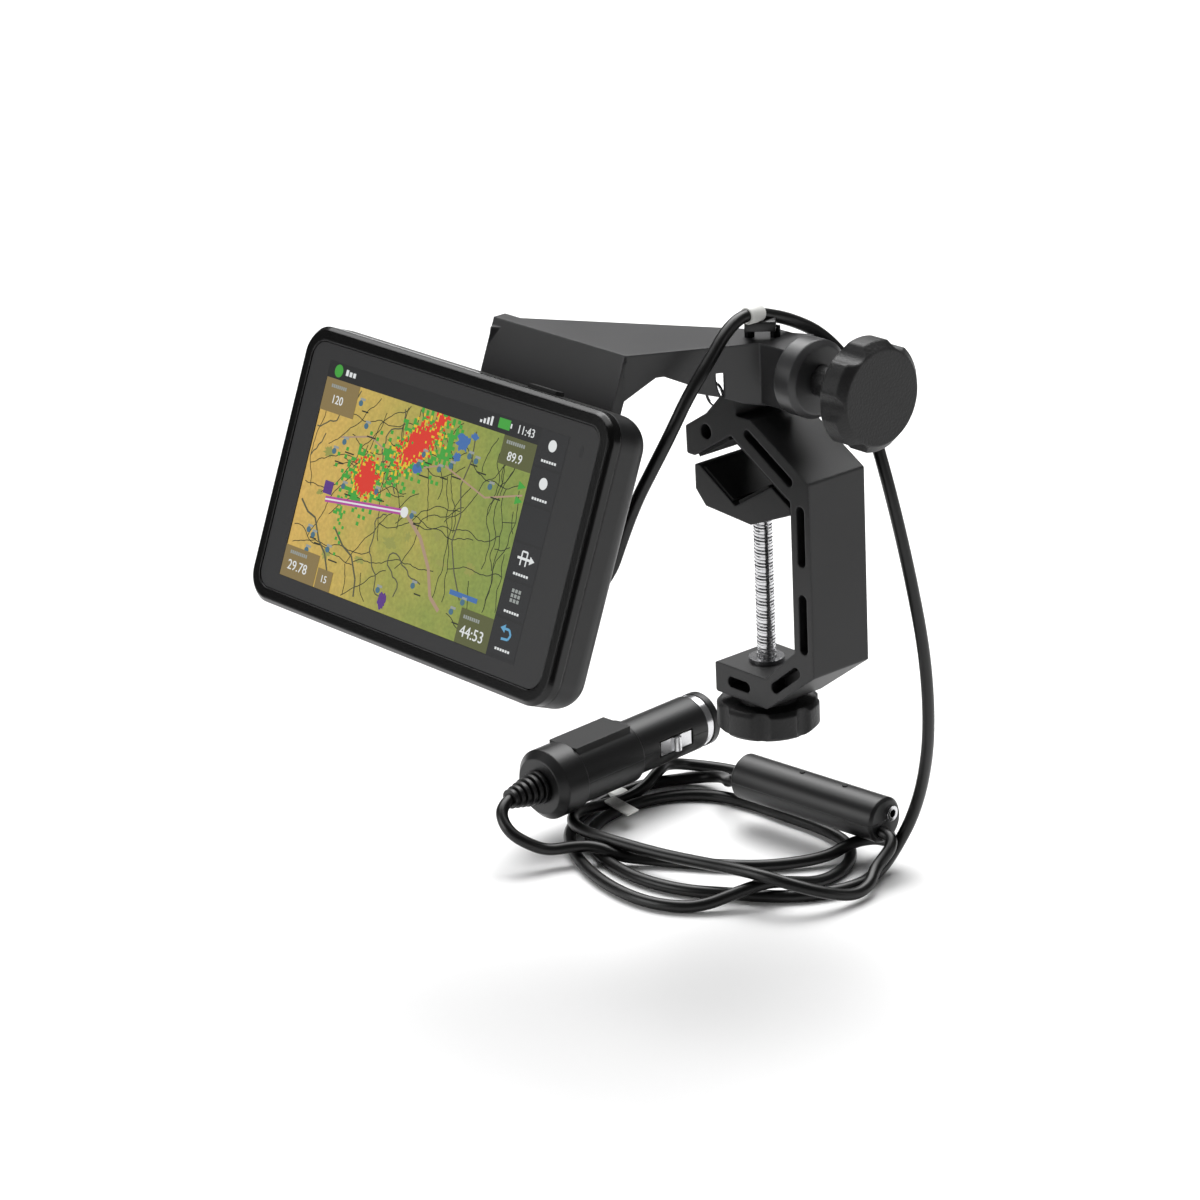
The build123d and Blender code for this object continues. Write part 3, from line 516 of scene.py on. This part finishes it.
show("cell", [rect(22.4, 29.1, 27.4, 32.0)], 12, "green")
title = [rect(-47.6 + 1.7 * i, 29.6, -46.4 + 1.7 * i, 31.0 + 0.4 * (i == 0)) for i in range(3)]
bars = [rect(14.5 + 1.5 * i, 29.0, 15.4 + 1.5 * i, 29.8 + 0.6 * i) for i in range(4)]
show("signal", bars + [rect(27.6, 29.9, 28.2, 31.2)] + title, 12, "white")
slot_mark = prisms("sensor_slot", [rounded(58.2, 29.8, 1.4, 3.4, 0.69)], -0.6, -0.18)
piece(slot_mark, "arm", "display", GLOW["black"])
show("strip", [rect(40.2, -32.6, 52.7, 32.8)], 12, "black")
print("layers", len(layers))

# %% [markdown]
# ## Six keys down the right side
# The keys are one tile repeated at an even pitch, which is a Mesh Line with the tile instanced
# on each point: change the count or pitch and all of them move.

# %% Key tiles as Geometry Nodes
SOCKETS = {int: "NodeSocketInt", float: "NodeSocketFloat", tuple: "NodeSocketVector"}


def grown(name, build, values, material):
    """The mesh that a node tree makes from its named inputs, as a plain object."""
    tree = bpy.data.node_groups.new(name, "GeometryNodeTree")
    tree.interface.new_socket("Geometry", in_out="OUTPUT", socket_type="NodeSocketGeometry")
    sockets = {label: tree.interface.new_socket(label, in_out="INPUT", socket_type=SOCKETS[type(value)])
               for label, value in values.items()}
    result = build(tree, add(tree, "NodeGroupInput").outputs)
    real = add(tree, "GeometryNodeRealizeInstances", {"Geometry": result})
    paint = add(tree, "GeometryNodeSetMaterial", {"Geometry": real.outputs[0], "Material": material})
    add(tree, "NodeGroupOutput", {"Geometry": paint.outputs[0]})
    holder = linked(name + "_maker", bpy.data.meshes.new(name))
    grow = holder.modifiers.new("grow", "NODES")
    grow.node_group = tree
    for label, value in values.items():
        grow[sockets[label].identifier] = value
    return baked(name, holder)


KEYS, KEY_X, KEY_TOP, KEY_PITCH = 6, 46.4, 27.6, 10.8
KEY_W, KEY_H, KEY_D = 11.5, 10.0, 0.2
ICONS = 14.5    # the level of what is drawn on the keys


def key_tree(tree, given):
    line = add(tree, "GeometryNodeMeshLine", {
        "Count": given["Keys"], "Start Location": given["First"], "Offset": given["Step"]}, mode="OFFSET")
    tile = add(tree, "GeometryNodeMeshCube", {"Size": given["Tile"]})
    return add(tree, "GeometryNodeInstanceOnPoints", {
        "Points": line.outputs[0], "Instance": tile.outputs[0], "Rotation": given["Turn"]}).outputs[0]


keys = grown("screen_keys", key_tree, {
    "Keys": KEYS, "First": tuple(on_face(KEY_X, KEY_TOP, BASE_Z + LAYER * 13 - KEY_D / 2)),
    "Step": tuple(-FACE_U * KEY_PITCH * MM), "Tile": tuple(Vector((KEY_W, KEY_H, KEY_D)) * MM),
    "Turn": (math.radians(90) - TILT, 0.0, 0.0)}, GLOW["key"])
piece(keys, "arm", "display", GLOW["key"], stands_for=("lcd_panel",))
key_y = [KEY_TOP - KEY_PITCH * i for i in range(KEYS)]
show("lens", [disc(KEY_X, y + 1.2, 1.7) for y in key_y[:2]], ICONS, "white")
y = key_y[3]
show("direct", stroke([(KEY_X - 3, y + 1.2), (KEY_X + 2.6, y + 1.2)], 0.7)
     + [[(KEY_X + 2.2, y + 2.4), (KEY_X + 4.2, y + 1.2), (KEY_X + 2.2, y)]]
     + stroke([(KEY_X - 1.4, y - 0.8), (KEY_X - 1.4, y + 3.2), (KEY_X + 0.8, y + 3.2),
               (KEY_X + 0.8, y - 0.8)], 0.5), ICONS, "white")
x, y = KEY_X - 1.9, key_y[4] - 0.6
show("grid", [rect(x + 1.4 * i, y + 1.4 * j, x + 1.0 + 1.4 * i, y + 1.0 + 1.4 * j)
              for i in range(3) for j in range(3)], ICONS, "grey")
y = key_y[5]
show("back", stroke([(KEY_X - 1.6, y - 0.4), (KEY_X + 1.2, y - 0.2), (KEY_X + 2.0, y + 1.2),
                     (KEY_X + 1.0, y + 2.6), (KEY_X - 1.2, y + 2.6)], 0.7)
     + [[(KEY_X - 0.8, y + 3.8), (KEY_X - 0.8, y + 1.4), (KEY_X - 2.8, y + 2.6)]], ICONS, "sky")
captions = [rect(KEY_X - 3.2 + 1.1 * i, y - 3.8, KEY_X - 2.4 + 1.1 * i, y - 3.1)
            for y in key_y[:2] + key_y[3:] for i in range(6)]
show("captions", captions, ICONS, "white")
print("keys", len(keys.data.polygons))

# %% [markdown]
# ## Numbers on the screen
# Numbers are text objects with a little depth, turned to meshes and laid on the face.

# %% Digits
def digits(name, text, x, y, height):
    """A white number on the screen, with its middle and height in mm."""
    curve_depth, level = 0.05, 15.5
    curve = bpy.data.curves.new(name, "FONT")
    curve.body = text
    curve.size = height / 0.72
    curve.align_x, curve.align_y = "CENTER", "CENTER"
    curve.extrude = curve_depth
    curve.resolution_u = 3
    number = baked("screen_" + name, linked(name, curve))
    place = (x, y, BASE_Z + LAYER * level - curve_depth)
    number.data.transform(FACE @ Matrix.Scale(MM, 4) @ Matrix.Translation(place))
    layers.append(piece(number, "arm", "display", GLOW["white"], stands_for=("lcd_panel",)))


digits("time", "11:43", 34.4, 30.3, 2.5)
digits("track", "120", -48.6, 21.8, 2.6)
digits("distance", "89.9", 32.4, 22.2, 2.7)
digits("pressure", "29.78", -48.4, -28.8, 3.0)
digits("clock", "44:53", 32.6, -28.9, 3.4)
digits("scale", "15", -35.5, -29.4, 2.2)
show("rows", [rect(x + 0.9 * i, y, x + 0.6 + 0.9 * i, y + 1.0) for x, y, n in (
    (-52.6, 25.2, 8), (27.6, 25.6, 9), (-53.0, -25.4, 9), (27.6, -25.2, 8)) for i in range(n)], 14.5, "grey")
print("screen pieces", len(layers))

# %% [markdown]
# ## The cord
# One flexible 3.8 mm cord leaves the cradle, is tied on the arm, drops behind the clamp and
# lies in loose turns on the floor. It passes through the in-line module and ends in the plug.
# Each length is a NURBS curve through a few chosen points. Where turns cross, the upper one
# has its points raised by a cord's thickness.

# %% Routes of the two cords
LOOP_ONE = [
    (12.5, 35, 1), (14, 29, 0), (16, 20, 0), (13, 9, 0), (7, 0, 0), (0, -6, 0), (-8, -11, 0), (-19, -19, 0),
    (-34, -23, 0), (-49, -22, 0), (-62, -18.5, 0), (-72, -12, 0), (-78, -3, 0), (-80.5, 8, 0),
    (-79.5, 20, 0), (-74, 31, 0), (-65, 37.5, 0), (-54, 40, 0), (-38, 41, 0), (-21, 42, 0), (-9, 40, 0),
    (0, 33, 0), (5, 24, 0), (6, 13, 0), (4.5, 3, 3), (2.5, -4, 5), (-1, -13, 3.6), (-7, -24, 0),
    (-17, -31.5, 0), (-31, -33.5, 0), (-48, -31, 0), (-66, -24, 0), (-80, -14, 0), (-88, 1, 0),
    (-91, 16, 0), (-89, 30, 0), (-83, 40, 0), (-76, 44, 1.5), (-68, 42.5, 4),
]
LOOP_TWO = [
    (17, 26, 3.6), (21, 20, 1.5), (22, 12, 1), (19, 3, 4), (13, -4, 7), (4, -8.5, 8.9), (-6, -10, 8.4),
    (-19, -11, 6.6), (-31, -13, 5.6), (-42, -15, 5.2), (-50, -16, 5), (-57, -17.2, 5), (-66, -18.2, 5),
    (-75, -16.5, 5), (-80.5, -10, 5), (-83.5, 0, 2.5), (-85.5, 12, 0), (-85, 22, 1), (-87, 31, 4.5),
    (-92, 39, 3), (-90, 49, 0), (-77, 55, 0), (-60, 57, 0), (-36, 58, 0), (-14, 57, 0), (-3, 53, 0),
    (2, 47, 1.5), (1.5, 41, 4.5), (-1, 33, 4.6), (-4, 26, 1), (-13, 12, 0), (-24, 2, 0), (-36, -6, 0),
    (-45, -12.5, 0.4), (-51, -17.2, 1), (-57, -22, 4.2), (-62, -27, 4.2),
]


def on_floor(points):
    """Coil points, given by the height above where a cord lies."""
    return [(x, y, LIE + lift) for x, y, lift in points]


def nurbs(name, points, radius):
    """A smooth curve along points in mm."""
    curve = bpy.data.curves.new(name, "CURVE")
    curve.dimensions = "3D"
    spline = curve.splines.new("NURBS")
    spline.points.add(len(points) - 1)
    for point, place in zip(spline.points, points):
        point.co = (*(Vector(place) * MM), 1)
    spline.order_u = 3
    spline.use_endpoint_u = True
    curve.resolution_u = 8
    curve.bevel_depth = radius * MM
    curve.bevel_resolution = 5
    curve.use_fill_caps = True
    return linked(name, curve)


def centreline(name, points):
    """The points that a curve passes through, in order."""
    line = nurbs(name, points, 0)
    bpy.context.view_layer.update()
    mesh = bpy.data.meshes.new_from_object(line.evaluated_get(bpy.context.evaluated_depsgraph_get()))
    path = [tuple(v.co) for v in mesh.vertices]
    bpy.data.objects.remove(line)
    return path


route_one = CORD_TO_CLIP + CORD_DROP + on_floor(LOOP_ONE) + MODULE_IN
route_two = MODULE_OUT + on_floor(LOOP_TWO) + PLUG_LEAD[::-1]
path_one, path_two = centreline("line_one", route_one), centreline("line_two", route_two)


def path_length(path):
    return sum((Vector(b) - Vector(a)).length for a, b in zip(path, path[1:]))


print("cord lengths", round(path_length(path_one), 3), round(path_length(path_two), 3), "m")

# %% [markdown]
# ## The two cords as meshes
# The real cord is one round PVC jacket from the cradle to the module, and another from the
# module to the plug. Each is a curve with a round bevel turned into a mesh, so that the
# jacket is one smooth surface instead of the CAD's stacked lengths.

# %% Cord pieces
cord_one = piece(baked("cord_one", nurbs("cord_one", route_one, CORD_R)), None, "cord_pvc",
                 stands_for=("cord_to_clip", "cord_drop", "cord_coil", "cord_module_in"))
cord_two = piece(baked("cord_two", nurbs("cord_two", route_two, CORD_R)), "root", "cord_pvc",
                 stands_for=("cord_module_out", "cord_plug_lead", "cord_coil"))
print("cord meshes", len(cord_one.data.polygons), len(cord_two.data.polygons))

# %% [markdown]
# ## Ties on the cord
# Two white bands hold the cord: one on its clip at the arm's pivot, and one round the
# gathered turns, with its tail sticking out.

# %% Bands and the tail of the tie
def sleeve(name, centre, direction, radius, length, body, slot, stands_for=(), wide=1.0, sides=40):
    """A short closed band along a direction, chamfered at its ends; wide stretches it sideways."""
    bm = bmesh.new()
    turn = Vector(direction).to_track_quat("Z", "Y").to_matrix().to_4x4()
    place = Matrix.Translation(Vector(centre) * MM) @ turn @ Matrix.Diagonal((wide, 1, 1, 1))
    small = radius - 0.25
    rings = [[bm.verts.new(place @ Vector((0, 0, -0.5 * length * MM)))]]
    for z, r in ((-0.5, small), (-0.42, radius), (0.42, radius), (0.5, small)):
        rings.append([bm.verts.new(place @ (Vector((r * math.cos(a), r * math.sin(a), z * length)) * MM))
                      for a in circle(sides)])
    rings.append([bm.verts.new(place @ Vector((0, 0, 0.5 * length * MM)))])
    for a, b in zip(rings, rings[1:]):
        for i in range(sides):
            j = (i + 1) % sides
            corners = [a[i % len(a)], a[j % len(a)], b[j % len(b)], b[i % len(b)]]
            bm.faces.new(list(dict.fromkeys(corners)))
    return piece(from_bmesh(name, bm), body, slot, stands_for=stands_for)


def box_at(name, centre, size, body, slot, turn=0.0, tilt=0.0, bevel=0.3, stands_for=()):
    """A box with softened edges, turned about Z and tilted about its own X."""
    bm = bmesh.new()
    bmesh.ops.create_cube(bm, size=1.0)
    bmesh.ops.scale(bm, vec=Vector(size) * MM, verts=bm.verts)
    bmesh.ops.bevel(bm, geom=bm.edges[:], offset=bevel * MM, segments=2, affect="EDGES", profile=0.5)
    spin = Matrix.Rotation(math.radians(turn), 4, "Z") @ Matrix.Rotation(math.radians(tilt), 4, "X")
    bmesh.ops.transform(bm, matrix=Matrix.Translation(Vector(centre) * MM) @ spin, verts=bm.verts)
    return piece(from_bmesh(name, bm), body, slot, stands_for=stands_for)


clip_band = sleeve("clip_band", (5.3, -6.0, 46.3), (-0.1, 1, -0.06), 2.6, 6.0, "arm", "tie_white")
# a black block under the band: partly the tie anchor, partly a dark shape set where shadow falls beside the
# band, a painted shadow
box_at("clip_anchor_shadow", (4.9, -3.0, 42.6), (9.0, 6.0, 3.0), "arm", "plug_plastic", turn=45)
tie = sleeve("tie_band", (-88.3, 14.0, -137.7), (-0.1, 1, 0.0), 2.3, 5.5, "root", "tie_white", ("coil_tie",),
             wide=2.05)
tail = box_at("tie_tail", (-76.5, 5.5, -134.9), (14.0, 4.4, 0.6), "root", "tie_white", turn=-8, tilt=8,
              bevel=0.15)
for mark, along in (("dimple_a", 0.42), ("dimple_b", 0.72)):
    sleeve(mark, (-48 + 57.5 * along, 33 + 5.5 * along, -117.25), (0, 0, 1), 0.9, 0.5, "root", "rubber_black")
print("ties made")

# %% [markdown]
# ## Clamp screw
# The rod is threaded from end to end. The thread is a helix curve with a small four-sided
# ridge swept along it, with a pitch of 1 mm, on a core cylinder. A spiral node makes the helix.

# %% Threaded rod
THREAD_TOP, THREAD_BOTTOM, PITCH = -18.0, -76.0, 1.0
CREST, CORE, ROD_LENGTH, ROD_MIDDLE = 2.9, 2.6, 63.0, 28.0
THREADED = THREAD_TOP - THREAD_BOTTOM


def thread_tree(tree, given):
    helix = add(tree, "GeometryNodeCurveSpiral", {
        "Resolution": 20, "Rotations": given["Turns"], "Start Radius": given["Core"],
        "End Radius": given["Core"], "Height": given["Threaded"]})
    ridge = add(tree, "GeometryNodeCurvePrimitiveCircle", {"Resolution": 4, "Radius": given["Ridge"]})
    swept = add(tree, "GeometryNodeCurveToMesh", {
        "Curve": helix.outputs[0], "Profile Curve": ridge.outputs[0], "Fill Caps": True})
    rod = add(tree, "GeometryNodeMeshCylinder", {
        "Vertices": 32, "Radius": given["Core"], "Depth": given["Rod"]})
    core = add(tree, "GeometryNodeTransform", {"Geometry": rod.outputs[0], "Translation": given["Middle"]})
    both = add(tree, "GeometryNodeJoinGeometry")
    tree.links.new(swept.outputs[0], both.inputs[0])
    tree.links.new(core.outputs[0], both.inputs[0])
    return add(tree, "GeometryNodeTransform", {
        "Geometry": both.outputs[0], "Translation": given["Foot"]}).outputs[0]


rod = piece(grown("threaded_rod", thread_tree, {
    "Turns": THREADED / PITCH, "Threaded": THREADED * MM, "Core": CORE * MM, "Ridge": (CREST - CORE) * MM,
    "Rod": ROD_LENGTH * MM, "Middle": (0.0, 0.0, ROD_MIDDLE * MM), "Foot": (0.0, 0.0, THREAD_BOTTOM * MM),
}, FINISH["steel"]), "screw", "steel", stands_for=("clamp_screw",))
print("rod faces", len(rod.data.polygons))

# %% [markdown]
# ## Plug boot
# The plug's strain relief is a stack of soft rings that shrink towards the cord. One ring is
# instanced along a line, and its scale falls with its index.

# %% Ribs of the boot
PLUG_NOSE, PLUG_BACK = Vector((-85.33, 43.0, -120.3)), Vector((-81.5, -13.0, -120.3))
PLUG_AXIS = (PLUG_BACK - PLUG_NOSE).normalized()
RIB_START, RIB_PITCH, RIBS = 68.4, 2.15, 6
RIB_R, RIB_THICK, LAST_RIB = 5.6, 1.3, 0.56


def boot_tree(tree, given):
    line = add(tree, "GeometryNodeMeshLine", {
        "Count": given["Ribs"], "Start Location": given["First"], "Offset": given["Step"]}, mode="OFFSET")
    ring = add(tree, "GeometryNodeMeshCylinder", {
        "Vertices": 32, "Side Segments": 1, "Radius": given["Radius"], "Depth": given["Thickness"]})
    order = add(tree, "GeometryNodeInputIndex")
    shrink = add(tree, "ShaderNodeMapRange", {
        "Value": order.outputs[0], "From Max": given["Last index"], "To Min": 1.0,
        "To Max": given["Last size"]})
    size = add(tree, "ShaderNodeCombineXYZ", {"X": shrink.outputs[0], "Y": shrink.outputs[0], "Z": 1.0})
    return add(tree, "GeometryNodeInstanceOnPoints", {
        "Points": line.outputs[0], "Instance": ring.outputs[0], "Rotation": given["Turn"],
        "Scale": size.outputs[0]}).outputs[0]


ribs = piece(grown("boot_ribs", boot_tree, {
    "Ribs": RIBS, "First": tuple((PLUG_NOSE + PLUG_AXIS * RIB_START) * MM),
    "Step": tuple(PLUG_AXIS * RIB_PITCH * MM), "Radius": RIB_R * MM, "Thickness": RIB_THICK * MM,
    "Last index": float(RIBS - 1), "Last size": LAST_RIB,
    "Turn": tuple(PLUG_AXIS.to_track_quat("Z", "Y").to_euler()),
}, FINISH["plug_plastic"]), "root", "plug_plastic")
print("ribs", len(ribs.data.polygons))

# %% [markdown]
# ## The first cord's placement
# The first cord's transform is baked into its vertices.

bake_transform(cord_one)

# %% [markdown]
# ## Stage, light and camera
# A pale floor under the coil and soft studio light: one large panel above and behind, which
# lies along the tops of the arm and knobs, one as strong in front for the screen's side, a weak
# one on the right, and a broad sky. The long lens far away keeps the shape's lines nearly parallel.

# %% Floor, lights and camera
floor_mat, floor_tree, floor_out = new_material("pale_floor")
floor_skin = add(floor_tree, "ShaderNodeBsdfPrincipled", {"Base Color": linear("#f4f4f4"), "Roughness": 0.9})
floor_tree.links.new(floor_skin.outputs["BSDF"], floor_out.inputs["Surface"])
bm = bmesh.new()
bmesh.ops.create_grid(bm, x_segments=1, y_segments=1, size=6.0)
bmesh.ops.translate(bm, vec=(0, 0, FLOOR * MM - 0.0001), verts=bm.verts)
floor = from_bmesh("floor", bm)
floor.data.materials.append(floor_mat)


def panel(name, place, target, width, height, watts):
    """A soft rectangular light that faces a point."""
    light = bpy.data.lights.new(name, "AREA")
    light.shape, light.size, light.size_y, light.energy = "RECTANGLE", width, height, watts
    lamp = linked(name, light)
    lamp.location = place
    lamp.rotation_euler = (Vector(target) - Vector(place)).to_track_quat("-Z", "Y").to_euler()
    return lamp


MIDDLE = (-0.03, -0.02, -0.03)
panel("overhead", (-0.45, 0.45, 0.9), MIDDLE, 0.9, 0.7, 9)
panel("front_wall", (-0.5, -1.3, 0.35), MIDDLE, 0.9, 0.8, 9)
panel("right_wall", (1.2, 0.6, 0.35), MIDDLE, 0.25, 0.6, 1.2)
sky = bpy.data.lights.new("sky", "SUN")
sky.energy, sky.angle = 3.0, math.radians(70)
sky_lamp = linked("sky", sky)
sky_lamp.rotation_euler = Vector((0.35, -0.25, -1.0)).to_track_quat("-Z", "Y").to_euler()
world = bpy.data.worlds.new("studio")
bpy.context.scene.world = world
world.use_nodes = True
background = next(n for n in world.node_tree.nodes if n.type == "BACKGROUND")
background.inputs["Color"].default_value = (1, 1, 1, 1)
background.inputs["Strength"].default_value = 0.1

camera = linked("camera", bpy.data.cameras.new("camera"))
camera.data.lens = 125.4
camera.data.sensor_width = 36.0
camera.data.clip_start = 0.05
right, up, back = (0.6561, 0.7534, -0.0434), (-0.2385, 0.2616, 0.9352), (0.716, -0.6033, 0.3514)
turn = Matrix((right, up, back)).transposed()
camera.rotation_euler = turn.to_euler()
camera.location = (0.8517, -0.7813, 0.3917)
bpy.context.scene.camera = camera
bpy.context.scene.view_settings.view_transform = "Standard"
print("camera at", tuple(round(v, 3) for v in camera.location))
